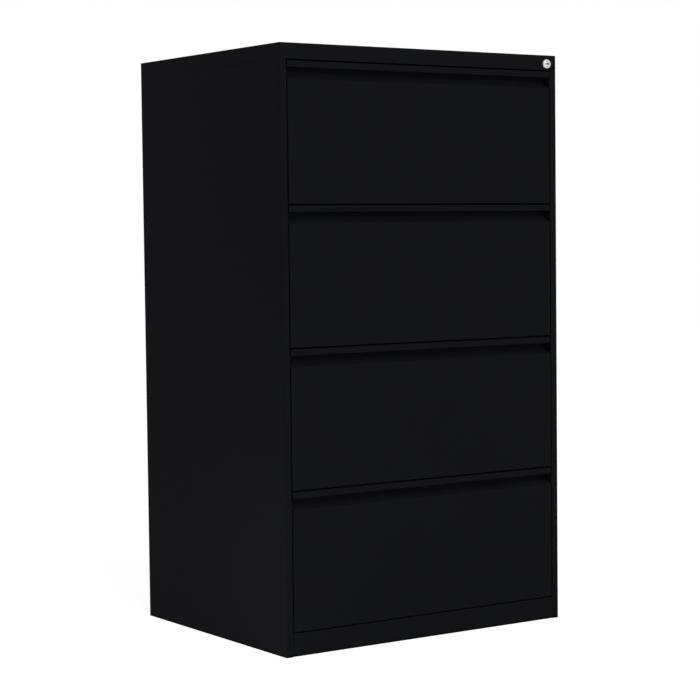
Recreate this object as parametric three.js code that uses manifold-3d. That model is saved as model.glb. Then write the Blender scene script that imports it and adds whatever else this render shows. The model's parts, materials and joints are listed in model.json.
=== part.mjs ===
// A lateral filing cabinet with four drawers, in folded sheet steel.
// Millimetres, +Z up, origin on the floor under the middle of the case, drawers opening towards -Y.

import * as THREE from 'three';
import { mergeVertices } from 'three/addons/utils/BufferGeometryUtils.js';
import Module from 'manifold-3d';

const wasm = await Module();
wasm.setup();

// Case, outside
const width = 762;
const depth = 615;
const height = 1321;

// Case sheet metal
const caseSheet = 1.2;
const bendRadius = 1.5; // inside radius of a plain fold
const stileWidth = 18.5; // front face of a side panel
const stileReturn = 30; // its fold back into the case
const rearFlange = 18.5; // its fold across the back
const floorFlange = 25; // its fold along the floor
const capSkirt = 34.5; // the top cap's skirt, which is also the top rail
const capReturn = 20; // fold behind the front skirt's lower edge
const capSeam = 0.8; // joint line under the skirt
const tongueLap = 25; // side panel's tongue, welded on below the seam
const tongueFlange = 14; // its fold under the cap
const backFlange = 12; // back panel's fold under the cap
const backLift = 2; // back panel's lower edge above the floor

// Base
const baseHeight = 49.5;
const railFlange = 50; // depth of a base rail's two flanges
const toeDepth = 8; // folded toe that stands on the floor
const toeHeight = 10;
const panFlange = 20; // base pan's folds down its sides
const panBend = 0.2; // their inside radius, tight because the base rails end against them
const weightDepth = 120;
const weightClearance = 20; // from the counterweight's ends to the glides' nuts

// Levelling glides
const glideInset = 60; // from the case's side
const glideSetback = 30; // from a base rail's face
const glideFootRadius = 16;
const glideFootHeight = 8;
const glideStemRadius = 5;
const glideStemHeight = 40;
const glideNutRadius = 8;
const glideNutHeight = 6;

// Drawers, in front
const drawerCount = 4;
const frontGap = 3; // above, below and between drawer fronts
const sideGap = 2; // between a drawer front and a stile
const drawerSheet = 1;

// Pull, folded into the top of a drawer front
const pullDepth = 20; // recess behind the front's face
const pullDrop = 40; // from the drawer's top to where the recess begins
const pullRise = 11; // height of the slope into the recess
const pullRadius = 5; // folds at the slope's two ends
const lipHeight = 14.5;
const lipReturn = 5; // fold under the lip
const lipHem = 5; // and up behind it

// Drawer tray
const trayLift = 12; // tray's floor above the drawer front's lower edge
const trayFrontDrop = 6; // tray's front wall below the drawer front's top
const railTop = 262; // hang rails above the drawer front's lower edge
const railBlade = 14; // upstanding edge that carries folder hooks
const railStep = 10; // how far it stands in from the tray's side
const railSpan = 318; // between the two rails of one folder row
const trayBackFlange = 12;

// Lock catch, an angle bracket on the tray's right side
const catchRise = 180; // above the drawer front's lower edge
const catchHeight = 12;
const catchReach = 9;
const catchLength = 25;
const catchSheet = 2;

// Telescopic slides
const slideHeight = 45;
const slideThickness = 12.7;
const slideSheet = 1.5;
const slideRise = 80; // slide's middle above the drawer front's lower edge
const slideBend = 0.5; // inside radius of its folds
const accessRadius = 5; // holes through the middle member, for the screws behind it
const accessInset = 45; // the first and last of them, from the member's ends
const accessCount = 4;
const accessSteps = 16;

// Uprights that carry the slides
const uprightWidth = 40;
const uprightSetIn = 0.5; // their faces stand behind the stile's edge
const rearClearance = 37; // rear uprights to the case's back
const slotsPerDrawer = 4; // slots in an upright for each drawer's height
const slotMargin = 10; // above the topmost slot

// Lugs on the outer slide members, hooked through the uprights' slots
const lugNeck = 8; // height of the neck in the slot
const lugDrop = 6; // tail that hangs behind the upright's web

// Lock
const lockFromSide = 28.6;
const lockDrop = 3; // below the middle of the top rail
const bezelRadius = 12.1; // of its foot on the rail
const bezelFaceRadius = 9.3;
const bezelLength = 5.2;
const bezelFoot = 0.5; // straight rim of the foot, before the taper
const barrelRadius = 9.5;
const plugRadius = 6.9;
const plugRecess = 0.4;
const keySlotLength = 9;
const keySlotWidth = 3.2;
const keySlotDepth = 7;
const camSheet = 2;
const camHubRadius = 7;
const camTipRadius = 4;
const crankRadius = 9;
const crankPinRadius = 2;
const crankTurn = Math.PI / 2;

// Lock bar
const barSheet = 3;
const barClearance = 1.5; // to the stile's return and to the drawers' catches
const barSlack = 2.5; // to the side panel
const hookHeight = 10;
const hookDrop = 2; // hooks below the catches while unlocked
const hookReach = 5; // hooks' lap past the catches' ends
const armHeight = 12;
const armMargin = 4; // metal round the crank pin's slot
const slotClearance = 0.5;

// Fits
const fitGap = 0.3;
const slideGap = 0.4; // between two slide members
const bendSteps = 4;
const roundSteps = 32;
const glideSteps = 16;
const overrun = 1; // how far a cutting shape passes the face that it cuts

// Places worked out from the sizes
const halfWidth = width / 2;
const frontY = -depth / 2;
const backY = depth / 2;
const wallX = halfWidth - caseSheet;
const stileX = halfWidth - stileWidth;
const uprightX = stileX + uprightSetIn;
const railHalf = uprightX - caseSheet - fitGap;
const foldRadius = bendRadius + caseSheet;
const skirtZ = height - capSkirt;
const panelTop = skirtZ - capSeam;
const capUnder = height - caseSheet;

const frontHeight = (skirtZ - baseHeight - frontGap * (drawerCount + 1)) / drawerCount;
const frontHalf = stileX - sideGap;
const frontDepth = pullDepth + drawerSheet;

const barFront = frontY + stileReturn + barClearance;
const barBack = barFront + barSheet;
const uprightFront = barBack + fitGap;
const uprightRear = backY - rearClearance;
const uprightFrontY = uprightFront + uprightWidth / 2;
const uprightRearY = uprightRear - uprightWidth / 2;

const slideFront = uprightFront + drawerSheet;
const slideBack = uprightRear;
const trayHalf = uprightX - slideThickness;
const trayFront = frontY + frontDepth;
const trayBack = slideBack;
const bladeX = trayHalf - railStep - drawerSheet;
const centreBladeX = bladeX - railSpan;

const rearRailShift = -2 * caseSheet; // rear base rail, inside the back panel
const glideX = halfWidth - glideInset;
const glideFrontY = frontY + glideSetback;
const glideRearY = backY - glideSetback + rearRailShift;

const lockX = halfWidth - lockFromSide;
const lockZ = height - capSkirt / 2 - lockDrop;
const boreRadius = plugRadius + fitGap;
const camBack = barFront - fitGap;
const plugBack = camBack - camSheet;
const barrelBack = plugBack - fitGap;
const crankAngle = Math.PI + crankTurn / 2; // of the crank pin while unlocked
const crankX = lockX + crankRadius * Math.cos(crankAngle);
const crankZ = lockZ + crankRadius * Math.sin(crankAngle);

const drawerZ = (index) => baseHeight + frontGap + (drawerCount - 1 - index) * (frontHeight + frontGap);

// Finishes
const blackPowder = { color: 0x151517, roughness: 0.55, metalness: 0 };
const zincPlate = { color: 0xb4b8bc, roughness: 0.35, metalness: 1 };
const satinChrome = { color: 0xcfd0d1, roughness: 0.3, metalness: 1 };
const blackNylon = { color: 0x1b1b1c, roughness: 0.7, metalness: 0 };
const castSteel = { color: 0x3a3a3c, roughness: 0.8, metalness: 0.6 };

const cabinet = new THREE.Group();

// Adds one piece of the cabinet as a named mesh.
function addPiece(name, geometry, finish) {
  const material = new THREE.MeshStandardMaterial({ ...finish, flatShading: true });
  const mesh = new THREE.Mesh(closed(geometry), material);
  mesh.name = name;
  cabinet.add(mesh);
}

// Keeps a geometry's positions only, joins its shared vertices and turns its faces outwards.
function closed(geometry) {
  const source = geometry.clone();
  source.deleteAttribute('normal');
  source.deleteAttribute('uv');
  const merged = mergeVertices(source);
  if (signedVolume(merged) < 0) {
    const index = merged.index.array;
    for (let i = 0; i < index.length; i += 3) {
      const first = index[i];
      index[i] = index[i + 1];
      index[i + 1] = first;
    }
  }
  return merged;
}

function signedVolume(geometry) {
  const position = geometry.attributes.position;
  const index = geometry.index;
  const corners = [new THREE.Vector3(), new THREE.Vector3(), new THREE.Vector3()];
  let sum = 0;
  for (let i = 0; i < index.count; i += 3) {
    corners.forEach((corner, k) => corner.fromBufferAttribute(position, index.getX(i + k)));
    sum += corners[0].dot(corners[1].clone().cross(corners[2]));
  }
  return sum / 6;
}

// Joins and cuts
function toSolid(geometry) {
  const mesh = closed(geometry);
  const vertProperties = new Float32Array(mesh.attributes.position.array);
  const triVerts = new Uint32Array(mesh.index.array);
  return new wasm.Manifold(new wasm.Mesh({ numProp: 3, vertProperties, triVerts }));
}

function toGeometry(solid) {
  const mesh = solid.getMesh();
  const geometry = new THREE.BufferGeometry();
  geometry.setAttribute('position', new THREE.BufferAttribute(mesh.vertProperties, 3));
  geometry.setIndex(new THREE.BufferAttribute(mesh.triVerts, 1));
  return geometry;
}

const combine = (operation, first, others) =>
  toGeometry(others.reduce((solid, other) => solid[operation](toSolid(other)), toSolid(first)));
const join = (first, ...others) => combine('add', first, others);
const cut = (first, ...others) => combine('subtract', first, others);
const common = (first, ...others) => combine('intersect', first, others);

// One corner of a folded sheet's path, with the inside radius of its fold.
const fold = (x, y, radius = bendRadius) => ({ at: new THREE.Vector2(x, y), radius });

// Outline of a folded sheet. The path runs along one face, and the sheet lies on its right.
function foldedSheet(path, thickness) {
  const face = [];
  const back = [];
  const heading = (from, to) => to.at.clone().sub(from.at).normalize();
  const rightOf = (direction) => new THREE.Vector2(direction.y, -direction.x);
  const addEnd = (end, direction) => {
    face.push(end.at.clone());
    back.push(end.at.clone().addScaledVector(rightOf(direction), thickness));
  };
  addEnd(path[0], heading(path[0], path[1]));
  for (let i = 1; i < path.length - 1; i++) {
    const before = heading(path[i - 1], path[i]);
    const after = heading(path[i], path[i + 1]);
    const turn = Math.atan2(before.cross(after), before.dot(after));
    const side = turn < 0 ? 1 : -1;
    const faceRadius = path[i].radius + (side > 0 ? thickness : 0);
    const reach = faceRadius * Math.tan(Math.abs(turn) / 2);
    const spoke = rightOf(before).multiplyScalar(-side);
    const centre = path[i].at.clone().addScaledVector(before, -reach).addScaledVector(spoke, -faceRadius);
    for (let step = 0; step <= bendSteps; step++) {
      const arm = spoke.clone().rotateAround(new THREE.Vector2(), (turn * step) / bendSteps);
      face.push(centre.clone().addScaledVector(arm, faceRadius));
      back.push(centre.clone().addScaledVector(arm, faceRadius - side * thickness));
    }
  }
  addEnd(path[path.length - 1], heading(path[path.length - 2], path[path.length - 1]));
  return new THREE.Shape([...face, ...back.reverse()]);
}

// Rectangle with round corners, all four or only the two upper ones.
function roundedRectangle(left, right, low, high, radius, lowerRadius = radius) {
  const shape = new THREE.Shape();
  const quarter = Math.PI / 2;
  const corner = (x, y, size, start) => {
    if (size > 0) shape.absarc(x, y, size, start, start + quarter);
  };
  shape.moveTo(left + lowerRadius, low);
  shape.lineTo(right - lowerRadius, low);
  corner(right - lowerRadius, low + lowerRadius, lowerRadius, -quarter);
  shape.lineTo(right, high - radius);
  corner(right - radius, high - radius, radius, 0);
  shape.lineTo(left + radius, high);
  corner(left + radius, high - radius, radius, quarter);
  shape.lineTo(left, low + lowerRadius);
  corner(left + lowerRadius, low + lowerRadius, lowerRadius, 2 * quarter);
  return shape;
}

// Extrusions of a section: drawn in plan, seen from the side, or seen from the front.
const axisX = new THREE.Vector3(1, 0, 0);
const axisY = new THREE.Vector3(0, 1, 0);
const axisZ = new THREE.Vector3(0, 0, 1);

function extrude(shape, length) {
  const curveSegments = bendSteps / 2;
  return new THREE.ExtrudeGeometry(shape, { depth: length, bevelEnabled: false, curveSegments });
}

function alongZ(planShape, low, high) {
  return extrude(planShape, high - low).translate(0, 0, low);
}

function alongX(sideShape, low, high) {
  const turn = new THREE.Matrix4().makeBasis(axisY, axisZ, axisX);
  return extrude(sideShape, high - low).applyMatrix4(turn).translate(low, 0, 0);
}

function alongY(frontShape, low, high) {
  const turn = new THREE.Matrix4().makeBasis(axisX, axisZ, axisY.clone().negate());
  return extrude(frontShape, high - low).applyMatrix4(turn).translate(0, high, 0);
}

function plate(lowX, highX, lowY, highY, lowZ, highZ) {
  const box = new THREE.BoxGeometry(highX - lowX, highY - lowY, highZ - lowZ);
  return box.translate((lowX + highX) / 2, (lowY + highY) / 2, (lowZ + highZ) / 2);
}

// A round bar along Y, such as a pin or a drilled hole.
function roundBar(x, z, lowY, highY, radius) {
  const bar = new THREE.CylinderGeometry(radius, radius, highY - lowY, roundSteps);
  return bar.translate(x, (lowY + highY) / 2, z);
}

const mirroredX = (geometry) => geometry.clone().scale(-1, 1, 1);
const mirroredY = (geometry) => geometry.clone().scale(1, -1, 1);

// Adds a right-hand piece and its mirror image.
function addPair(name, geometry, finish) {
  addPiece(`${name}_left`, mirroredX(geometry), finish);
  addPiece(`${name}_right`, geometry, finish);
}

// Side panel: rear flange, wall, stile and return in one fold, with a floor flange and a tongue for the cap
function sidePanel() {
  const section = foldedSheet(
    [
      fold(halfWidth - rearFlange, backY),
      fold(halfWidth, backY),
      fold(halfWidth, frontY),
      fold(stileX, frontY),
      fold(stileX, frontY + stileReturn),
    ],
    caseSheet,
  );
  const tongueSection = foldedSheet(
    [fold(wallX - tongueFlange, capUnder), fold(wallX, capUnder), fold(wallX, panelTop - tongueLap)],
    caseSheet,
  );
  const tongueFront = uprightFront;
  const tongueBack = backY - rearFlange - caseSheet;
  const half = caseSheet / 2;
  const weld = plate(
    wallX - half, wallX + half, tongueFront, tongueBack, panelTop - tongueLap, panelTop - caseSheet,
  );
  const floorFront = frontY + stileReturn + fitGap;
  return join(
    alongZ(section, 0, panelTop),
    alongY(tongueSection, tongueFront, tongueBack),
    weld,
    plate(halfWidth - floorFlange, wallX + half, floorFront, tongueBack, 0, caseSheet),
  );
}

// Solid block of the cap's outside, or of its inside where it is inset by the sheet.
function capBlock(inset, low) {
  const radius = foldRadius - inset;
  const half = halfWidth - inset;
  const front = frontY + inset;
  const back = backY - inset;
  const top = height - inset;
  return common(
    alongY(roundedRectangle(-half, half, low, top, radius, 0), front, back),
    alongX(roundedRectangle(front, back, low, top, radius, 0), -half, half),
    alongZ(roundedRectangle(-half, half, front, back, radius), low, top),
  );
}

// Top cap: a tray turned over, with the lock's hole and a return behind the front skirt
function topCap() {
  const lowerReturn = plate(
    -stileX, stileX, frontY + caseSheet / 2, frontY + capReturn, skirtZ, skirtZ + caseSheet,
  );
  const shell = cut(capBlock(0, skirtZ), capBlock(caseSheet, skirtZ - overrun));
  const holeRadius = barrelRadius + fitGap;
  const lockHole = roundBar(lockX, lockZ, frontY - overrun, frontY + caseSheet + overrun, holeRadius);
  return cut(join(shell, lowerReturn), lockHole);
}

// Back panel, inside the side panels' rear flanges
function backPanel() {
  const outside = backY - caseSheet;
  const half = wallX - bendRadius - fitGap;
  const section = foldedSheet(
    [fold(outside - backFlange, capUnder), fold(outside, capUnder), fold(outside, backLift)],
    caseSheet,
  );
  return alongX(section, -half, half);
}

// Base rail: a channel with a folded toe and closed ends, and holes for two glides
function baseRail() {
  const section = foldedSheet(
    [
      fold(frontY + railFlange, toeHeight),
      fold(frontY + toeDepth, toeHeight),
      fold(frontY + toeDepth, 0),
      fold(frontY, 0),
      fold(frontY, baseHeight),
      fold(frontY + railFlange, baseHeight),
    ],
    caseSheet,
  );
  const hole = new THREE.CylinderGeometry(
    glideStemRadius + fitGap, glideStemRadius + fitGap, caseSheet + 2 * overrun, glideSteps,
  );
  hole.rotateX(Math.PI / 2);
  hole.translate(glideX, glideFrontY, toeHeight + caseSheet / 2);
  const half = caseSheet / 2;
  const inside = railHalf - caseSheet;
  const high = baseHeight - half;
  const upperEnd = plate(inside, railHalf, frontY + half, frontY + railFlange, toeHeight + half, high);
  const toeEnd = plate(inside, railHalf, frontY + half, frontY + toeDepth - half, half, high);
  const rail = join(
    alongX(section, -railHalf, railHalf), upperEnd, toeEnd, mirroredX(upperEnd), mirroredX(toeEnd),
  );
  return cut(rail, hole, mirroredX(hole));
}

// Base pan, resting on the two base rails between the uprights
function basePan() {
  const top = baseHeight + caseSheet;
  const section = foldedSheet(
    [
      fold(-uprightX, top - panFlange),
      fold(-uprightX, top, panBend),
      fold(uprightX, top, panBend),
      fold(uprightX, top - panFlange),
    ],
    caseSheet,
  );
  return alongY(section, uprightFront, backY - 2 * caseSheet - fitGap);
}

// Counterweight bar on the rear rail's lower flange
function counterweight() {
  const back = backY - 3 * caseSheet - bendRadius;
  const low = toeHeight + caseSheet;
  const high = baseHeight - caseSheet - fitGap;
  const section = roundedRectangle(back - weightDepth, back, low, high, bendRadius);
  const half = glideX - glideNutRadius - weightClearance;
  return alongX(section, -half, half);
}

// Levelling glide: foot, threaded stem and jam nut
function glide() {
  const nutLow = toeHeight + caseSheet + fitGap;
  const nutHigh = nutLow + glideNutHeight;
  const chamfer = 1;
  const profile = [
    [0, 0],
    [glideFootRadius - chamfer, 0],
    [glideFootRadius, chamfer],
    [glideFootRadius, glideFootHeight / 2],
    [glideNutRadius, glideFootHeight],
    [glideStemRadius, glideFootHeight],
    [glideStemRadius, nutLow],
    [glideNutRadius, nutLow],
    [glideNutRadius, nutHigh],
    [glideStemRadius, nutHigh],
    [glideStemRadius, glideStemHeight],
    [0, glideStemHeight],
  ];
  const points = profile.map(([radius, level]) => new THREE.Vector2(radius, level));
  return new THREE.LatheGeometry(points, glideSteps).rotateX(Math.PI / 2);
}

// Upright: a slotted channel on the side panel, open towards it
function uprightChannel(middleY) {
  const front = middleY - uprightWidth / 2;
  const back = middleY + uprightWidth / 2;
  const top = panelTop - tongueLap - fitGap;
  const section = foldedSheet(
    [fold(wallX, front), fold(uprightX, front), fold(uprightX, back), fold(wallX, back)],
    caseSheet,
  );
  return cut(alongZ(section, caseSheet, top), ...lugSlots(middleY, top - slotMargin));
}

// Cutters for an upright's slots, one at each drawer's slide and the rest in even steps between them
function lugSlots(middleY, highest) {
  const half = slideSheet / 2 + fitGap;
  const tall = lugNeck + lugDrop + 2 * fitGap;
  const step = (frontHeight + frontGap) / slotsPerDrawer;
  const first = drawerZ(drawerCount - 1) + slideRise - lugNeck / 2 - fitGap;
  const count = 1 + Math.floor((highest - tall - first) / step);
  return Array.from({ length: count }, (_, row) => {
    const low = first + row * step;
    return plate(
      uprightX - overrun, uprightX + caseSheet + overrun, middleY - half, middleY + half, low, low + tall,
    );
  });
}

// Lug welded to an outer slide member: a neck through the slot and a tail behind the upright's web
function slideLug(middleY, middleZ) {
  const root = uprightX - slideSheet / 2;
  const behind = uprightX + caseSheet + fitGap;
  const tip = behind + slideSheet;
  const low = middleZ - lugNeck / 2;
  const high = middleZ + lugNeck / 2;
  const outline = new THREE.Shape();
  outline.moveTo(root, low);
  outline.lineTo(behind, low);
  outline.lineTo(behind, low - lugDrop);
  outline.lineTo(tip, low - lugDrop);
  outline.lineTo(tip, high);
  outline.lineTo(root, high);
  return alongY(outline, middleY - slideSheet / 2, middleY + slideSheet / 2);
}

// Slide members, one inside the other: channels that open across the slide's thickness
function slideChannel(web, tips, half, middleZ, front, back) {
  const corner = (x, z) => fold(x, middleZ + z, slideBend);
  const path = [corner(tips, half), corner(web, half), corner(web, -half), corner(tips, -half)];
  if (tips > web) path.reverse();
  return alongY(foldedSheet(path, slideSheet), front, back);
}

// Cutters for the row of holes in a middle member's web
function accessHoles(web, middleZ) {
  const first = slideFront + accessInset;
  const pitch = (slideBack - slideFront - 2 * accessInset) / (accessCount - 1);
  return Array.from({ length: accessCount }, (_, index) => {
    const length = slideSheet + 2 * overrun;
    const hole = new THREE.CylinderGeometry(accessRadius, accessRadius, length, accessSteps);
    return hole.rotateZ(Math.PI / 2).translate(web - slideSheet / 2, first + index * pitch, middleZ);
  });
}

function addSlides(drawer, bottom) {
  const middleZ = bottom + slideRise;
  const nest = slideSheet + slideGap;
  const outerWeb = uprightX;
  const middleWeb = outerWeb - nest;
  const innerWeb = trayHalf;
  const outerTips = innerWeb + nest;
  const innerTips = middleWeb - nest;
  const half = slideHeight / 2;
  const member = (web, tips, level) =>
    slideChannel(web, tips, half - level * nest, middleZ, slideFront, slideBack);
  const lugs = [uprightFrontY, uprightRearY].map((middleY) => slideLug(middleY, middleZ));
  addPair(`${drawer}_slide_outer`, join(member(outerWeb, outerTips, 0), ...lugs), zincPlate);
  const access = accessHoles(middleWeb, middleZ);
  addPair(`${drawer}_slide_middle`, cut(member(middleWeb, outerTips, 1), ...access), zincPlate);
  addPair(`${drawer}_slide_inner`, member(innerWeb, innerTips, 2), zincPlate);
}

// Drawer front: lower flange, face, slope, recess, top and lip in one folded sheet, closed at its ends
function drawerFront(bottom) {
  const top = bottom + frontHeight;
  const recess = frontY + pullDepth;
  const lipBack = frontY + drawerSheet;
  const lipLow = top - lipHeight + drawerSheet;
  const section = foldedSheet(
    [
      fold(frontY + frontDepth, bottom),
      fold(frontY, bottom),
      fold(frontY, top - pullDrop, pullRadius),
      fold(recess, top - pullDrop + pullRise, pullRadius),
      fold(recess, top - drawerSheet),
      fold(lipBack, top - drawerSheet),
      fold(lipBack, lipLow),
      fold(lipBack + lipReturn, lipLow),
      fold(lipBack + lipReturn, lipLow + lipHem),
    ],
    drawerSheet,
  );
  const half = drawerSheet / 2;
  const end = plate(
    frontHalf - drawerSheet, frontHalf, frontY + half, frontY + frontDepth,
    bottom + half, top - pullDrop - pullRadius,
  );
  return join(alongX(section, -frontHalf, frontHalf), end, mirroredX(end));
}

// Drawer tray: floor, sides and hang rails in one fold, with its front and back walls
function drawerTray(bottom) {
  const floor = bottom + trayLift;
  const high = bottom + railTop;
  const low = high - railBlade;
  const section = foldedSheet(
    [
      fold(trayHalf - railStep, high),
      fold(trayHalf - railStep, low),
      fold(trayHalf, low),
      fold(trayHalf, floor),
      fold(-trayHalf, floor),
      fold(-trayHalf, low),
      fold(-trayHalf + railStep, low),
      fold(-trayHalf + railStep, high),
    ],
    drawerSheet,
  );
  const backSection = foldedSheet(
    [fold(trayBack - trayBackFlange, low), fold(trayBack, low), fold(trayBack, floor + drawerSheet / 2)],
    drawerSheet,
  );
  const inside = trayHalf - drawerSheet / 2;
  const frontWall = plate(
    -inside, inside, trayFront, trayFront + drawerSheet,
    floor + drawerSheet / 2, bottom + frontHeight - trayFrontDrop,
  );
  return join(
    alongY(section, trayFront, trayBack),
    alongX(backSection, -inside + railStep, inside - railStep),
    frontWall,
  );
}

// Lock catch on the tray's right side, behind the lock bar
function lockCatch(bottom) {
  const front = barBack + barClearance;
  const section = foldedSheet(
    [fold(trayHalf + catchReach, front), fold(trayHalf, front), fold(trayHalf, front + catchLength)],
    catchSheet,
  );
  return alongZ(section, bottom + catchRise, bottom + catchRise + catchHeight);
}

// Centre file rail: a channel with two blades, on the tray's back flange
function centreRail(bottom) {
  const high = bottom + railTop;
  const low = high - railBlade;
  const section = foldedSheet(
    [
      fold(centreBladeX, high),
      fold(centreBladeX, low),
      fold(-centreBladeX, low),
      fold(-centreBladeX, high),
    ],
    drawerSheet,
  );
  return alongY(section, trayFront + drawerSheet + fitGap, trayBack - fitGap);
}

// Lock housing: tapered bezel in front of the top rail, threaded barrel behind it
function lockHousing() {
  const front = frontY - bezelLength;
  const profile = [
    [boreRadius, front],
    [bezelFaceRadius, front],
    [bezelRadius, frontY - bezelFoot],
    [bezelRadius, frontY],
    [barrelRadius, frontY],
    [barrelRadius, barrelBack],
    [boreRadius, barrelBack],
    [boreRadius, front],
  ];
  const points = profile.map(([radius, y]) => new THREE.Vector2(radius, y));
  return new THREE.LatheGeometry(points, roundSteps).translate(lockX, 0, lockZ);
}

// Turning plug with the key slot in its face
function lockPlug() {
  const face = frontY - bezelLength + plugRecess;
  const slot = plate(
    lockX - keySlotLength / 2, lockX + keySlotLength / 2, face - overrun, face + keySlotDepth,
    lockZ - keySlotWidth / 2, lockZ + keySlotWidth / 2,
  );
  return cut(roundBar(lockX, lockZ, face, plugBack, plugRadius), slot);
}

// Cam on the plug's end, with the crank pin that lifts the lock bar
function lockCam() {
  const tangent = Math.acos((camHubRadius - camTipRadius) / crankRadius);
  const outline = new THREE.Shape();
  outline.absarc(lockX, lockZ, camHubRadius, crankAngle + tangent, crankAngle + 2 * Math.PI - tangent);
  outline.absarc(crankX, crankZ, camTipRadius, crankAngle - tangent, crankAngle + tangent);
  const pin = roundBar(crankX, crankZ, plugBack + camSheet / 2, barBack, crankPinRadius);
  return join(alongY(outline, plugBack, camBack), pin);
}

// Lock bar: one stamped strip with a hook below each drawer's catch and a slotted arm for the crank pin
function lockBar() {
  const inner = stileX + caseSheet + barClearance;
  const outer = wallX - barSlack;
  const slotHalf = crankPinRadius + slotClearance;
  const slotLow = lockX - crankRadius;
  const armTip = slotLow - slotHalf - armMargin;
  const armLow = crankZ - armHeight / 2;
  const hookTip = trayHalf + catchReach - hookReach;
  const outline = new THREE.Shape();
  outline.moveTo(inner, caseSheet + fitGap);
  outline.lineTo(outer, caseSheet + fitGap);
  outline.lineTo(outer, armLow + armHeight);
  outline.lineTo(armTip, armLow + armHeight);
  outline.lineTo(armTip, armLow);
  outline.lineTo(inner, armLow);
  for (let index = 0; index < drawerCount; index++) {
    const hookTop = drawerZ(index) + catchRise - hookDrop;
    outline.lineTo(inner, hookTop);
    outline.lineTo(hookTip, hookTop);
    outline.lineTo(hookTip, hookTop - hookHeight / 2);
    outline.lineTo(inner, hookTop - hookHeight);
  }
  const slot = roundedRectangle(
    slotLow - slotHalf, crankX + slotHalf, crankZ - slotHalf, crankZ + slotHalf, slotHalf,
  );
  outline.holes.push(slot);
  return alongY(outline, barFront, barBack);
}

// Case
addPair('side_panel', sidePanel(), blackPowder);
addPiece('back_panel', backPanel(), blackPowder);
addPiece('top_cap', topCap(), blackPowder);
addPiece('base_front_rail', baseRail(), blackPowder);
addPiece('base_rear_rail', mirroredY(baseRail()).translate(0, rearRailShift, 0), blackPowder);
addPiece('base_pan', basePan(), blackPowder);
addPiece('counterweight', counterweight(), castSteel);
addPair('upright_front', uprightChannel(uprightFrontY), blackPowder);
addPair('upright_rear', uprightChannel(uprightRearY), blackPowder);
addPair('glide_front', glide().translate(glideX, glideFrontY, 0), blackNylon);
addPair('glide_rear', glide().translate(glideX, glideRearY, 0), blackNylon);

// Drawers, counted from the top
for (let index = 0; index < drawerCount; index++) {
  const drawer = `drawer_${index + 1}`;
  const bottom = drawerZ(index);
  addPiece(`${drawer}_front`, drawerFront(bottom), blackPowder);
  addPiece(`${drawer}_tray`, drawerTray(bottom), blackPowder);
  addPiece(`${drawer}_centre_rail`, centreRail(bottom), zincPlate);
  addPiece(`${drawer}_catch`, lockCatch(bottom), zincPlate);
  addSlides(drawer, bottom);
}

// Lock
addPiece('lock_housing', lockHousing(), satinChrome);
addPiece('lock_plug', lockPlug(), satinChrome);
addPiece('lock_cam', lockCam(), zincPlate);
addPiece('lock_bar', lockBar(), zincPlate);

export default cabinet;
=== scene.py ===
# Looks of a four-drawer lateral filing cabinet in black powder-coated steel.
# Metres, +Z up, the cabinet's front facing -Y.

import json
import math

import bmesh
import bpy
from mathutils import Matrix, Vector


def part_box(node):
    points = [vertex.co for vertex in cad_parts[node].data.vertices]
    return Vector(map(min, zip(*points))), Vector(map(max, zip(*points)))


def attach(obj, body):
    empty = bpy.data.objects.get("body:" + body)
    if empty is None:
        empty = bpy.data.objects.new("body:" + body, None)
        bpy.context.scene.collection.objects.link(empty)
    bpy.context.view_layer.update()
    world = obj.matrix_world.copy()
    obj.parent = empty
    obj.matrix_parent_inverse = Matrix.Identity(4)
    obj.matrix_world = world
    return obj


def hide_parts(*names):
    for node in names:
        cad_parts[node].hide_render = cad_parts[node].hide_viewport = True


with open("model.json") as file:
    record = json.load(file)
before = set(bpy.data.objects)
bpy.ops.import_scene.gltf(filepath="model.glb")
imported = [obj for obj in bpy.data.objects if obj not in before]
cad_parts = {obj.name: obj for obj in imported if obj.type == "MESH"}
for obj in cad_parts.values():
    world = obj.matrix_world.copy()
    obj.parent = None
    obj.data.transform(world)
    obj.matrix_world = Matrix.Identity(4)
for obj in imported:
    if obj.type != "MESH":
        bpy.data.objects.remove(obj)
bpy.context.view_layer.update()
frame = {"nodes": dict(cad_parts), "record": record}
scene = bpy.context.scene

MM = 0.001

# Camera, at the photograph's viewing angle
CAMERA_PLACE = Vector((-2.6862, -3.9551, 0.9215))
CAMERA_AZIMUTH = math.radians(34.198)
CAMERA_DROP = math.radians(3.404)
CAMERA_ROLL = math.radians(-0.633)
CAMERA_CLIP = 100.0
IMAGE_PIXELS = 700
FOCAL_PIXELS = 2020.8
SENSOR_MM = 36.0

# Surroundings
AMBIENT = 0.5
BACKDROP = 1.0
FLOOR_SIZE = 60.0
FLOOR_GLOW = 0.86
FLOOR_SHADE = 0.3
FLOOR_ALBEDO = 0.9

# Lamps: name, place, what it aims at, width and height, watts
MIDDLE = (0, 0, 0.6)
LAMPS = (
    ("key_soft", (-1.25, -6.1, 5.2), MIDDLE, (2.6, 2.6), 252),
    ("front_soft", (2.4, -6.0, 4.6), MIDDLE, (2.4, 2.4), 98),
    ("floor_bounce", (-0.9, -0.5, 0.05), (-0.38, -0.25, 0.05), (0.7, 0.08), 1.9),
)

# Colours
WHITE = (1.0, 1.0, 1.0, 1.0)
BLACK = (0.0053, 0.0055, 0.0065)
# Paler black for edges: worn paint and a painted highlight
EDGE_WEAR_AND_HIGHLIGHT_BLACK = (0.012, 0.012, 0.013, 1.0)
ZINC_BLUE = (0.36, 0.385, 0.42, 1.0)
ZINC_STRAW = (0.43, 0.415, 0.375, 1.0)
ZINC_STEM = (0.50, 0.52, 0.55, 1.0)
CHROME = (0.62, 0.623, 0.626, 1.0)
CAST_GREY = (0.035, 0.034, 0.034, 1.0)
RUST = (0.07, 0.04, 0.026, 1.0)
NYLON = (0.012, 0.012, 0.012, 1.0)

# How far away other faces still darken the paint of a gap, as painted shade
WIDE_SHADE_REACH = 8 * MM
TIGHT_SHADE_REACH = 2 * MM

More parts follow.
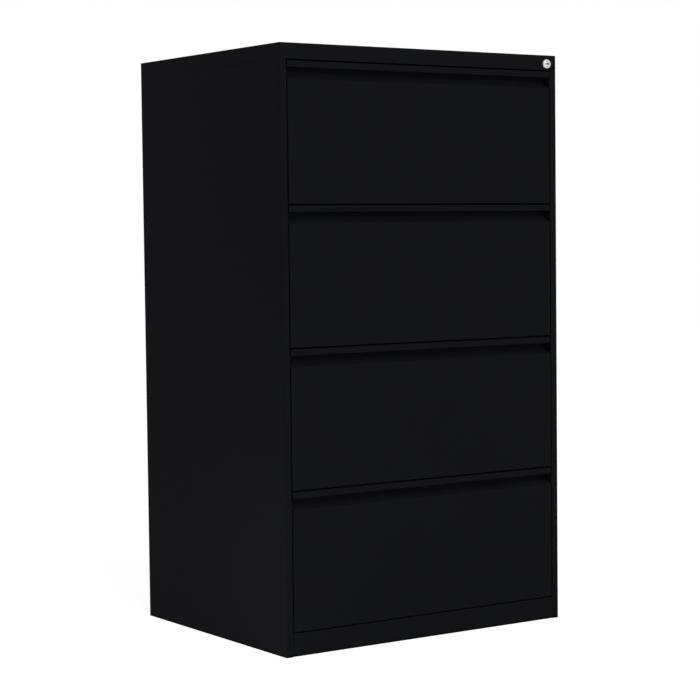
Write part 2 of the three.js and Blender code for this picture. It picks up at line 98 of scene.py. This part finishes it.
# Finish of the edges
EDGE_BEVEL = 0.22 * MM
EDGE_ANGLE = math.radians(40)
BEVEL_SEGMENTS = 2
FACE_WEIGHT = 90
WELD_DISTANCE = 0.005 * MM

# Sizes of the solids that the scene's pieces fit
DRAWER_COUNT = 4
CAP_SHEET = 1.2 * MM
TRAY_SHEET = 1.0 * MM
SLIDE_WEB = 1.5 * MM
FOLD_RADIUS = 2.7 * MM
GLIDE_FOOT_TOP = 8 * MM
LOCK_BARREL_RADIUS = 9.5 * MM

CIRCLE_STEPS = 48
CIRCLE_ANGLES = [math.tau * step / CIRCLE_STEPS for step in range(CIRCLE_STEPS)]
UNIT_CIRCLE = [(math.cos(angle), math.sin(angle)) for angle in CIRCLE_ANGLES]

drawers = [f"drawer_{number}" for number in range(1, DRAWER_COUNT + 1)]


def camera_turn(azimuth, drop, roll):
    """Turn of a camera that looks along azimuth from +Y towards +X, and down by drop."""
    forward = Vector(
        (
            math.sin(azimuth) * math.cos(drop),
            math.cos(azimuth) * math.cos(drop),
            -math.sin(drop),
        )
    )
    level = forward.cross(Vector((0, 0, 1))).normalized()
    down = forward.cross(level)
    right = level * math.cos(roll) - down * math.sin(roll)
    up = -(level * math.sin(roll) + down * math.cos(roll))
    return Matrix((right, up, -forward)).transposed().to_4x4()


def make_camera():
    data = bpy.data.cameras.new("camera")
    data.sensor_fit = "HORIZONTAL"
    data.sensor_width = SENSOR_MM
    data.lens = FOCAL_PIXELS / IMAGE_PIXELS * SENSOR_MM
    data.clip_end = CAMERA_CLIP
    camera = bpy.data.objects.new("camera", data)
    turn = camera_turn(CAMERA_AZIMUTH, CAMERA_DROP, CAMERA_ROLL)
    camera.matrix_world = Matrix.Translation(CAMERA_PLACE) @ turn
    scene.collection.objects.link(camera)
    scene.camera = camera


class Graph:
    """Short names for building a node tree."""

    # Numbers of a mix node's colour sockets, which share their names with others
    MIX_FIRST = 6
    MIX_SECOND = 7
    MIX_RESULT = 2

    BEVEL_SAMPLES = 6
    SHADE_SAMPLES = 8

    def __init__(self, tree):
        self.tree = tree
        tree.nodes.clear()

    def add(self, kind, settings=None, **inputs):
        """A new node with its settings. Each input's name has _ in place of its spaces."""
        node = self.tree.nodes.new(kind)
        for name, value in (settings or {}).items():
            setattr(node, name, value)
        for name, value in inputs.items():
            self.put(node, name.replace("_", " "), value)
        return node

    def put(self, node, socket, value):
        """Links another node's output to a socket, or sets the socket to a plain value."""
        target = node.inputs[socket]
        if isinstance(value, bpy.types.NodeSocket):
            self.tree.links.new(value, target)
        else:
            target.default_value = value

    def show(self, shader, kind="ShaderNodeOutputMaterial"):
        self.put(self.add(kind), "Surface", shader.outputs[0])

    def surface(self, **inputs):
        self.show(self.add("ShaderNodeBsdfPrincipled", **inputs))

    def combine(self, operation, first, second):
        node = self.add("ShaderNodeMath", {"operation": operation})
        self.put(node, 0, first)
        self.put(node, 1, second)
        return node.outputs[0]

    def scaled(self, value, between, to):
        """Maps the range between to the range to, and holds its ends outside it."""
        limits = {"From_Min": between[0], "From_Max": between[1], "To_Min": to[0], "To_Max": to[1]}
        node = self.add("ShaderNodeMapRange", {"clamp": True}, Value=value, **limits)
        return node.outputs["Result"]

    def mix(self, share, first, second):
        node = self.add("ShaderNodeMix", {"data_type": "RGBA"})
        self.put(node, 0, share)
        self.put(node, self.MIX_FIRST, first)
        self.put(node, self.MIX_SECOND, second)
        return node.outputs[self.MIX_RESULT]

    def place(self):
        return self.add("ShaderNodeTexCoord").outputs["Object"]

    def stretched(self, where, scale):
        return self.add("ShaderNodeMapping", Vector=where, Scale=scale).outputs["Vector"]

    def noise(self, where, scale, detail, roughness):
        node = self.add("ShaderNodeTexNoise", Vector=where, Scale=scale, Detail=detail, Roughness=roughness)
        return node.outputs["Fac"]

    def bump(self, height, strength, distance, under=None):
        """Normal of a relief, on top of the relief under it where there is one."""
        node = self.add("ShaderNodeBump", Height=height, Strength=strength, Distance=distance)
        if under is not None:
            self.put(node, "Normal", under)
        return node.outputs["Normal"]

    def edges(self, radius, flat, sharp):
        """1 on sharp edges, 0 on flat faces, by how well the normal agrees with its surroundings'."""
        rounded = self.add("ShaderNodeBevel", {"samples": self.BEVEL_SAMPLES}, Radius=radius)
        face = self.add("ShaderNodeNewGeometry")
        agreement = self.add("ShaderNodeVectorMath", {"operation": "DOT_PRODUCT"})
        self.put(agreement, 0, rounded.outputs["Normal"])
        self.put(agreement, 1, face.outputs["Normal"])
        return self.scaled(agreement.outputs["Value"], between=(flat, sharp), to=(0.0, 1.0))

    def painted_gap_shade(self, reach, between, darkest):
        """Painted shade from ambient occlusion: 1 in the open, falling to darkest in gaps and corners that
        other faces close within reach.
        """
        openness = self.add("ShaderNodeAmbientOcclusion", {"samples": self.SHADE_SAMPLES}, Distance=reach)
        return self.scaled(openness.outputs["AO"], between, to=(darkest, 1.0))

    def seen(self):
        """1 for rays of the camera and of reflections, 0 for those that light other surfaces."""
        path = self.add("ShaderNodeLightPath").outputs
        direct = self.combine("MAXIMUM", path["Is Camera Ray"], path["Is Glossy Ray"])
        return self.combine("MAXIMUM", direct, path["Is Transmission Ray"])


def new_material(name):
    material = bpy.data.materials.new(name)
    material.use_nodes = True
    return material, Graph(material.node_tree)


def powder_coat(name, shade_reach):
    """Near-black powder coat: orange peel, faint clouds, painted shade in gaps and corners, and edges paler,
    partly worn and partly a painted highlight.
    """
    material, graph = new_material(name)
    where = graph.place()
    peel = graph.noise(where, scale=720.0, detail=2.0, roughness=0.45)
    grain = graph.noise(where, scale=3800.0, detail=1.0, roughness=0.5)
    cloud = graph.noise(where, scale=5.5, detail=4.0, roughness=0.55)
    edge_patch_noise = graph.noise(where, scale=160.0, detail=3.0, roughness=0.6)
    specks = graph.scaled(grain, between=(0.25, 0.75), to=(0.94, 1.06))
    clouds = graph.scaled(cloud, between=(0.3, 0.7), to=(0.97, 1.03))
    # Painted shade: ambient occlusion darkens the paint in gaps and corners
    shade = graph.painted_gap_shade(shade_reach, between=(0.5, 0.95), darkest=0.06)
    tone_and_shade = graph.combine("MULTIPLY", graph.combine("MULTIPLY", specks, clouds), shade)
    shaded_tint = graph.add("ShaderNodeVectorMath", {"operation": "SCALE"}, Vector=BLACK, Scale=tone_and_shade)
    # Paler edges: partly worn paint, partly a painted highlight where edges catch the light
    worn_and_lit_patches = graph.scaled(edge_patch_noise, between=(0.42, 0.68), to=(0.0, 0.8))
    wear_and_highlight = graph.combine("MULTIPLY", graph.edges(0.7 * MM, flat=0.97, sharp=0.70), worn_and_lit_patches)
    orange_peel = graph.bump(peel, strength=0.22, distance=0.06 * MM)
    graph.surface(
        Base_Color=graph.mix(wear_and_highlight, shaded_tint.outputs["Vector"], EDGE_WEAR_AND_HIGHLIGHT_BLACK),
        Roughness=graph.scaled(cloud, between=(0.3, 0.7), to=(0.53, 0.56)),
        Normal=graph.bump(grain, strength=0.10, distance=0.03 * MM, under=orange_peel),
        Specular_IOR_Level=0.01,
        IOR=1.45,
    )
    return material


def zinc_plate(name):
    """Zinc-plated steel drawn along Y, with the faint blue and straw tones of its passivation."""
    material, graph = new_material(name)
    where = graph.place()
    drawn = graph.noise(graph.stretched(where, (1400.0, 18.0, 1400.0)), scale=1.0, detail=3.0, roughness=0.6)
    bloom = graph.noise(where, scale=26.0, detail=3.0, roughness=0.6)
    straw = graph.scaled(bloom, between=(0.35, 0.68), to=(0.0, 1.0))
    graph.surface(
        Base_Color=graph.mix(straw, ZINC_BLUE, ZINC_STRAW),
        Roughness=graph.scaled(drawn, between=(0.3, 0.7), to=(0.26, 0.42)),
        Normal=graph.bump(drawn, strength=0.12, distance=0.02 * MM),
        Metallic=1.0,
    )
    return material


def chrome_plate(name):
    """Satin chrome, hazed by handling."""
    material, graph = new_material(name)
    where = graph.place()
    haze = graph.noise(where, scale=420.0, detail=3.0, roughness=0.6)
    satin = graph.noise(where, scale=2600.0, detail=2.0, roughness=0.5)
    graph.surface(
        Base_Color=CHROME,
        Roughness=graph.scaled(haze, between=(0.35, 0.7), to=(0.26, 0.36)),
        Normal=graph.bump(satin, strength=0.03, distance=0.01 * MM),
        Metallic=1.0,
    )
    return material


def cast_steel(name):
    """Rough cast bar, dark with oil and rust in its pores."""
    material, graph = new_material(name)
    where = graph.place()
    skin = graph.noise(where, scale=240.0, detail=5.0, roughness=0.65)
    patch = graph.noise(where, scale=18.0, detail=4.0, roughness=0.6)
    rusted = graph.scaled(patch, between=(0.52, 0.72), to=(0.0, 0.5))
    graph.surface(
        Base_Color=graph.mix(rusted, CAST_GREY, RUST),
        Roughness=graph.scaled(skin, between=(0.3, 0.7), to=(0.55, 0.8)),
        Normal=graph.bump(skin, strength=0.5, distance=0.4 * MM),
        Metallic=0.4,
    )
    return material


def glide_finish(name):
    """Moulded nylon foot, with a zinc-plated stem and nut above it."""
    stem_polish = 0.25
    material, graph = new_material(name)
    where = graph.place()
    height = graph.add("ShaderNodeSeparateXYZ", Vector=where).outputs["Z"]
    stem = graph.combine("GREATER_THAN", height, GLIDE_FOOT_TOP)
    grain = graph.noise(where, scale=1500.0, detail=3.0, roughness=0.6)
    moulded = graph.scaled(grain, between=(0.3, 0.7), to=(0.55, 0.72))
    polish = graph.combine("MULTIPLY", stem, stem_polish)
    graph.surface(
        Base_Color=graph.mix(stem, NYLON, ZINC_STEM),
        Roughness=graph.combine("SUBTRACT", moulded, polish),
        Normal=graph.bump(grain, strength=0.2, distance=0.05 * MM),
        Metallic=stem,
    )
    return material


def dress(piece, material):
    """Gives a CAD node's object its material, slightly broken edges and smooth folds."""
    piece.data.materials.clear()
    piece.data.materials.append(material)
    piece.data.polygons.foreach_set("use_smooth", [True] * len(piece.data.polygons))
    weld = piece.modifiers.new("weld", "WELD")
    weld.merge_threshold = WELD_DISTANCE
    bevel = piece.modifiers.new("broken_edge", "BEVEL")
    bevel.width = EDGE_BEVEL
    bevel.segments = BEVEL_SEGMENTS
    bevel.limit_method = "ANGLE"
    bevel.angle_limit = EDGE_ANGLE
    bevel.use_clamp_overlap = True
    bevel.harden_normals = True
    normals = piece.modifiers.new("normals", "WEIGHTED_NORMAL")
    normals.weight = FACE_WEIGHT
    normals.keep_sharp = False


def make_world():
    """White to the camera and in reflections, dimmer as a source of light."""
    world = bpy.data.worlds.new("studio")
    scene.world = world
    world.use_nodes = True
    graph = Graph(world.node_tree)
    strength = graph.scaled(graph.seen(), between=(0.0, 1.0), to=(AMBIENT, BACKDROP))
    sky = graph.add("ShaderNodeBackground", Color=WHITE, Strength=strength)
    graph.show(sky, "ShaderNodeOutputWorld")


def make_floor():
    """White floor: a glow that only the camera and reflections see, over paint that takes the shadow."""
    material, graph = new_material("floor_white")
    glow = graph.add("ShaderNodeEmission", Color=WHITE, Strength=FLOOR_GLOW)
    paint = graph.add("ShaderNodeBsdfDiffuse", Color=(FLOOR_SHADE, FLOOR_SHADE, FLOOR_SHADE, 1.0))
    shown = graph.add("ShaderNodeAddShader")
    graph.put(shown, 0, glow.outputs[0])
    graph.put(shown, 1, paint.outputs[0])
    bounce = graph.add("ShaderNodeBsdfDiffuse", Color=(FLOOR_ALBEDO, FLOOR_ALBEDO, FLOOR_ALBEDO, 1.0))
    choice = graph.add("ShaderNodeMixShader")
    graph.put(choice, 0, graph.seen())
    graph.put(choice, 1, bounce.outputs[0])
    graph.put(choice, 2, shown.outputs[0])
    graph.show(choice)
    half = FLOOR_SIZE / 2
    corners = [(-half, -half, 0), (half, -half, 0), (half, half, 0), (-half, half, 0)]
    mesh = bpy.data.meshes.new("floor")
    mesh.from_pydata(corners, [], [(0, 1, 2, 3)])
    mesh.materials.append(material)
    floor = bpy.data.objects.new("floor", mesh)
    scene.collection.objects.link(floor)


def make_lamp(name, place, target, size, power):
    data = bpy.data.lights.new(name, "AREA")
    data.shape = "RECTANGLE"
    data.size, data.size_y = size
    data.energy = power
    lamp = bpy.data.objects.new(name, data)
    aim = (Vector(target) - Vector(place)).to_track_quat("-Z", "Y").to_matrix().to_4x4()
    lamp.matrix_world = Matrix.Translation(place) @ aim
    scene.collection.objects.link(lamp)


def in_mm(*pairs):
    return [(first * MM, second * MM) for first, second in pairs]


def facing(direction, place):
    """Stands a shape drawn about +Z on place, pointing along direction."""
    turn = Vector((0, 0, 1)).rotation_difference(direction)
    return Matrix.Translation(place) @ turn.to_matrix().to_4x4()


def add_points(shape, spots):
    return [shape.verts.new(spot) for spot in spots]


def add_circle(shape, radius, height, matrix):
    """A ring of vertices about +Z at a height, placed by matrix."""
    return add_points(shape, [matrix @ Vector((radius * x, radius * y, height)) for x, y in UNIT_CIRCLE])


def bridge(shape, first, second, material=0):
    """Faces between two rings with as many vertices."""
    count = len(first)
    for k in range(count):
        after = (k + 1) % count
        face = shape.faces.new((first[k], first[after], second[after], second[k]))
        face.material_index = material
        face.smooth = True


def skin_over(shape, rings, capped=True):
    """Faces along a row of rings, with the first and the last closed where it is capped."""
    for first, second in zip(rings, rings[1:]):
        bridge(shape, first, second)
    if capped:
        shape.faces.new(rings[0])
        shape.faces.new(rings[-1])


def add_turned(shape, profile, matrix, capped=True):
    """Turned shape. The profile's radii and heights run from its foot to its tip or rim."""
    skin_over(shape, [add_circle(shape, radius, height, matrix) for radius, height in profile], capped)


def finish_piece(name, shape, body, slot, *more_materials):
    """Makes a mesh in the finish of slot a piece of the scene that rides on body."""
    bmesh.ops.recalc_face_normals(shape, faces=shape.faces)
    mesh = bpy.data.meshes.new(name)
    shape.to_mesh(mesh)
    shape.free()
    for material in (finishes[slot], *more_materials):
        mesh.materials.append(material)
    mesh.set_sharp_from_angle(angle=EDGE_ANGLE)
    piece = bpy.data.objects.new(name, mesh)
    scene.collection.objects.link(piece)
    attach(piece, body)
    return piece


def make_lock():
    """Bezel, nut and plug, drawn about the lock's axis with heights that run towards the front."""
    low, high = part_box("lock_housing")
    axis = (low + high) / 2
    seat = facing(Vector((0, -1, 0)), Vector((axis.x, 0, axis.z)))
    rail_face = -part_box("top_cap")[0].y
    make_lock_bezel(seat, rim=(high.x - low.x) / 2, back=-high.y, rail_face=rail_face, front=-low.y)
    make_lock_nut(seat, rail_face - CAP_SHEET)
    make_lock_core(seat)


def make_lock_bezel(seat, rim, back, rail_face, front):
    """Turned bezel on the rail's face, with a threaded barrel behind it."""
    bore = 7.2 * MM
    face_rim = 9.3 * MM
    edge = 0.5 * MM
    pitch = 1.0 * MM
    thread_root = LOCK_BARREL_RADIUS - 0.6 * MM
    plain_length = 1.0 * MM
    # Radius past the face's rim and the bore's mouth, and depth below the face
    rounded_rim = in_mm((0.2, 0.45), (-0.1, 0.12), (-0.5, 0.0))
    rounded_mouth = in_mm((0.6, 0.0), (0.4, 0.25), (0.0, 0.3))
    profile = [(bore, back), (thread_root, back)]
    for turn in range(int((rail_face - back - plain_length) / pitch)):
        foot = back + turn * pitch
        profile += [(thread_root, foot), (LOCK_BARREL_RADIUS, foot + pitch / 2)]
    profile += [(LOCK_BARREL_RADIUS, rail_face), (rim, rail_face), (rim, rail_face + edge)]
    profile += [(face_rim + past, front - depth) for past, depth in rounded_rim]
    profile += [(bore + past, front - depth) for past, depth in rounded_mouth]
    profile.append((bore, back))
    shape = bmesh.new()
    add_turned(shape, profile, seat, capped=False)
    bmesh.ops.remove_doubles(shape, verts=shape.verts, dist=WELD_DISTANCE)
    housing = finish_piece("lock_bezel_and_barrel", shape, "case", "lock_chrome")
    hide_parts("lock_housing")


def make_lock_nut(seat, front):
    """Hexagon nut on the barrel, its front against the rail and its rear corners cut off."""
    flat_reach = 12 * MM
    depth = 4 * MM
    chamfer = 0.7 * MM
    corner_cut = 1.26 * MM
    sector = math.pi / 3
    corner_reach = flat_reach / math.cos(sector / 2)
    levels = [
        (front, corner_reach),
        (front - depth + chamfer, corner_reach),
        (front - depth, corner_reach - corner_cut),
    ]
    shape = bmesh.new()
    rings = []
    for level, limit in levels:
        spots = []
        for angle, (x, y) in zip(CIRCLE_ANGLES, UNIT_CIRCLE):
            from_flat = (angle + sector / 2) % sector - sector / 2
            reach = min(flat_reach / math.cos(from_flat), limit)
            spots.append(seat @ Vector((x * reach, y * reach, level)))
        rings.append(add_points(shape, spots))
    rings.append(add_circle(shape, LOCK_BARREL_RADIUS, front - depth, seat))
    rings.append(add_circle(shape, LOCK_BARREL_RADIUS, front, seat))
    rings.append(rings[0])
    skin_over(shape, rings, capped=False)
    finish_piece("lock_nut", shape, "case", "zinc_steel")


def make_lock_core(seat):
    """Plug with a chamfered face and a key slot, whose inside is painted near-black as shade."""
    chamfer = 0.35 * MM
    slot_half_width = 4.5 * MM
    slot_half_height = 1.6 * MM
    slot_depth = 6.5 * MM
    lead_in = 0.3 * MM
    narrowing = (0.96, 0.9)
    smallest = 1e-6
    inside = 1
    low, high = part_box("lock_plug")
    face = -low.y
    radius = (high.x - low.x) / 2
    profile = [(radius, -high.y), (radius, face - chamfer), (radius - chamfer, face)]
    shape = bmesh.new()
    rings = [add_circle(shape, wide, level, seat) for wide, level in profile]
    skin_over(shape, rings, capped=False)
    shape.faces.new(rings[0])
    outline = []
    for x, y in UNIT_CIRCLE:
        reach = min(slot_half_width / max(abs(x), smallest), slot_half_height / max(abs(y), smallest))
        outline.append((x * reach, y * reach))
    narrow = [(x * narrowing[0], y * narrowing[1]) for x, y in outline]
    mouth = add_points(shape, [seat @ Vector((x, y, face)) for x, y in outline])
    inner = add_points(shape, [seat @ Vector((x, y, face - lead_in)) for x, y in narrow])
    floor = add_points(shape, [seat @ Vector((x, y, face - slot_depth)) for x, y in narrow])
    bridge(shape, rings[-1], mouth)
    bridge(shape, mouth, inner, inside)
    bridge(shape, inner, floor, inside)
    shape.faces.new(floor).material_index = inside
    # Painted shade: the key slot's inside takes near-black paint in place of the plug's chrome
    keyway_shade_paint = powder_coat("keyway_painted_shade", TIGHT_SHADE_REACH)
    core = finish_piece("lock_core", shape, "lock_cylinder", "lock_chrome", keyway_shade_paint)
    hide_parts("lock_plug")


def make_cap_seam():
    """Paint in the seam under the top cap's skirt, a shallow groove along the sides and round corners."""
    seam = 0.8 * MM
    shallow = 0.32 * MM
    hollow = 0.45 * MM
    root = 1.0 * MM
    overlap = 0.03 * MM
    lap = 15.5 * MM
    arc_steps = 6
    low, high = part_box("side_panel_right")
    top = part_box("top_cap")[0].z + overlap
    bottom = top - seam - 2 * overlap
    middle = (top + bottom) / 2
    section = [(root, bottom), (shallow, bottom), (hollow, middle), (shallow, top), (root, top)]
    front = low.y + FOLD_RADIUS
    rear = high.y - FOLD_RADIUS
    quarter = math.pi / 2
    path = [(high.x - lap, front, -quarter)]
    for fold_y, start in ((front, -quarter), (rear, 0.0)):
        for step in range(arc_steps + 1):
            path.append((high.x - FOLD_RADIUS, fold_y, start + quarter * step / arc_steps))
    path.append((high.x - lap, rear, quarter))
    shape = bmesh.new()
    for outward in (-1, 1):
        rings = []
        for x, y, angle in path:
            spots = []
            for depth, level in section:
                reach = FOLD_RADIUS - depth
                spots.append((outward * (x + reach * math.cos(angle)), y + reach * math.sin(angle), level))
            rings.append(add_points(shape, spots))
        skin_over(shape, rings)
    finish_piece("cap_seam_fill", shape, "case", "case_paint")


def make_base_seams():
    """Hollow welds, painted over, in the seams between the front base rail's ends and the stiles."""
    seam = 1.0 * MM
    bite = 0.3 * MM
    lap = 1.4 * MM
    shallow = 0.42 * MM
    hollow = 0.7 * MM
    root = 2.5 * MM
    top_clearance = 0.2 * MM
    floor_clearance = 1.0 * MM
    ripple = 0.04 * MM
    ripple_pitch = 1.6 * MM
    rings_per_ripple = 4
    face_points = 7
    low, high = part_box("base_front_rail")
    bottom = low.z + floor_clearance
    top = high.z - top_clearance
    count = int((top - bottom) / ripple_pitch * rings_per_ripple)
    shape = bmesh.new()
    for end, outward in ((low.x, -1), (high.x, 1)):
        rings = []
        for k in range(count + 1):
            wave = ripple * math.cos(math.tau * k / rings_per_ripple)
            section = [(-bite, root)]
            for point in range(face_points):
                share = point / (face_points - 1)
                sag = 1 - (2 * share - 1) ** 2
                across = share * (bite + seam + lap) - bite
                section.append((across, shallow + (hollow - shallow + wave) * sag))
            section.append((seam + lap, root))
            level = bottom + (top - bottom) * k / count
            spots = [(end + outward * across, low.y + depth, level) for across, depth in section]
            rings.append(add_points(shape, spots))
        skin_over(shape, rings)
    finish_piece("base_seam_welds", shape, "case", "case_paint")


def make_base_rail_edge():
    """The front base rail's top fold, tight and a little raised, so that the gap over it is a fine line."""
    rise = 1.7 * MM
    radius = 1.0 * MM
    lap = 30 * MM
    overlap = 0.05 * MM
    arc_steps = 5
    low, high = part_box("base_front_rail")
    foot = high.z - FOLD_RADIUS + overlap
    seat = high.z - overlap
    top = high.z + rise
    section = [(FOLD_RADIUS, seat), (overlap, foot), (0.0, foot)]
    for step in range(arc_steps + 1):
        angle = math.pi / 2 * step / arc_steps
        section.append((radius - radius * math.cos(angle), top - radius + radius * math.sin(angle)))
    section += [(lap, top), (lap, seat)]
    shape = bmesh.new()
    rings = []
    for end in (low.x, high.x):
        rings.append(add_points(shape, [(end, low.y + depth, level) for depth, level in section]))
    skin_over(shape, rings)
    finish_piece("base_rail_top_fold", shape, "case", "case_paint")


def make_slide_screws():
    """Pan-head screws in each inner slide member, behind the middle member's holes."""
    head = in_mm((3.6, 0.0), (3.6, 0.5), (2.9, 1.3), (1.5, 1.75), (1.3, 1.0))
    inset = 45 * MM
    count = 4
    for drawer in drawers:
        shape = bmesh.new()
        for side, outward in (("left", -1), ("right", 1)):
            low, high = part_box(f"{drawer}_slide_inner_{side}")
            tray_side = low.x if outward > 0 else high.x
            pitch = (high.y - low.y - 2 * inset) / (count - 1)
            for k in range(count):
                y = low.y + inset + k * pitch
                place = Vector((tray_side + outward * SLIDE_WEB, y, (low.z + high.z) / 2))
                add_turned(shape, head, facing(Vector((outward, 0, 0)), place))
        finish_piece(f"{drawer}_slide_screws", shape, drawer, "zinc_steel")


def make_spot_welds():
    """Painted-over spot welds that hold the side panels' rear flanges to the back panel."""
    mark = in_mm((2.9, -0.02), (2.4, 0.1), (1.6, 0.04), (0.5, 0.02))
    flange_middle = 9.2 * MM
    lowest = 50 * MM
    pitch = 110 * MM
    count = 12
    shape = bmesh.new()
    for side in ("left", "right"):
        low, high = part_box(f"side_panel_{side}")
        x = low.x + flange_middle if side == "left" else high.x - flange_middle
        for k in range(count):
            place = Vector((x, high.y, lowest + k * pitch))
            add_turned(shape, mark, facing(Vector((0, 1, 0)), place))
    finish_piece("rear_spot_welds", shape, "case", "case_paint")


def make_tray_beads():
    """Stiffening beads pressed up in each tray's floor, two rows of them running from side to side."""
    centres = (-165 * MM, 165 * MM)
    rows = 4
    for drawer in drawers:
        low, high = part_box(f"{drawer}_tray")
        shape = bmesh.new()
        for centre in centres:
            for row in range(rows):
                y = low.y + (high.y - low.y) * (row + 0.5) / rows
                add_bead(shape, Vector((centre, y, low.z + TRAY_SHEET)))
        finish_piece(f"{drawer}_floor_beads", shape, drawer, "drawer_paint")


def add_bead(shape, middle):
    """Long bead with round ends and soft flanks, along X."""
    reach = 120 * MM
    half_width = 9 * MM
    rise = 1.6 * MM
    slope = 4 * MM
    sunk = 0.02 * MM
    flank = ((0.0, -sunk), (0.3 * slope, 0.12 * rise), (0.7 * slope, 0.8 * rise), (slope, rise))
    rings = []
    for inset, level in flank:
        radius = half_width - inset
        spots = []
        for x, y in UNIT_CIRCLE:
            shift = reach if x >= 0 else -reach
            spots.append(middle + Vector((shift + radius * x, radius * y, level)))
        rings.append(add_points(shape, spots))
    skin_over(shape, rings)


def make_front_screws():
    """Washer-head screws that hold each drawer front to the tray's front wall, seen from inside."""
    head = in_mm((5.5, 0.0), (5.5, 0.7), (4.1, 1.0), (3.9, 2.6), (3.3, 3.1), (1.5, 3.1), (1.3, 1.6))
    heights = (60 * MM, 215 * MM)
    places = (-290 * MM, -100 * MM, 100 * MM, 290 * MM)
    for drawer in drawers:
        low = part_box(f"{drawer}_tray")[0]
        shape = bmesh.new()
        for height in heights:
            for x in places:
                place = Vector((x, low.y + TRAY_SHEET, low.z + height))
                add_turned(shape, head, facing(Vector((0, 1, 0)), place))
        finish_piece(f"{drawer}_front_screws", shape, drawer, "zinc_steel")


scene.view_settings.view_transform = "Standard"
make_camera()
make_world()
make_floor()
for lamp in LAMPS:
    make_lamp(*lamp)

finishes = {
    "case_paint": powder_coat("case_powder_coat", WIDE_SHADE_REACH),
    "drawer_paint": powder_coat("drawer_powder_coat", TIGHT_SHADE_REACH),
    "zinc_steel": zinc_plate("zinc_plate"),
    "lock_chrome": chrome_plate("lock_chrome"),
    "cast_steel": cast_steel("cast_steel"),
    "glide_nylon": glide_finish("glide_nylon_and_stem"),
}
for row in frame["record"]["subparts"]:
    dress(frame["nodes"][row["node"]], finishes[row["material_slot"]])

make_lock()
make_cap_seam()
make_base_seams()
make_base_rail_edge()
make_slide_screws()
make_spot_welds()
make_tray_beads()
make_front_screws()
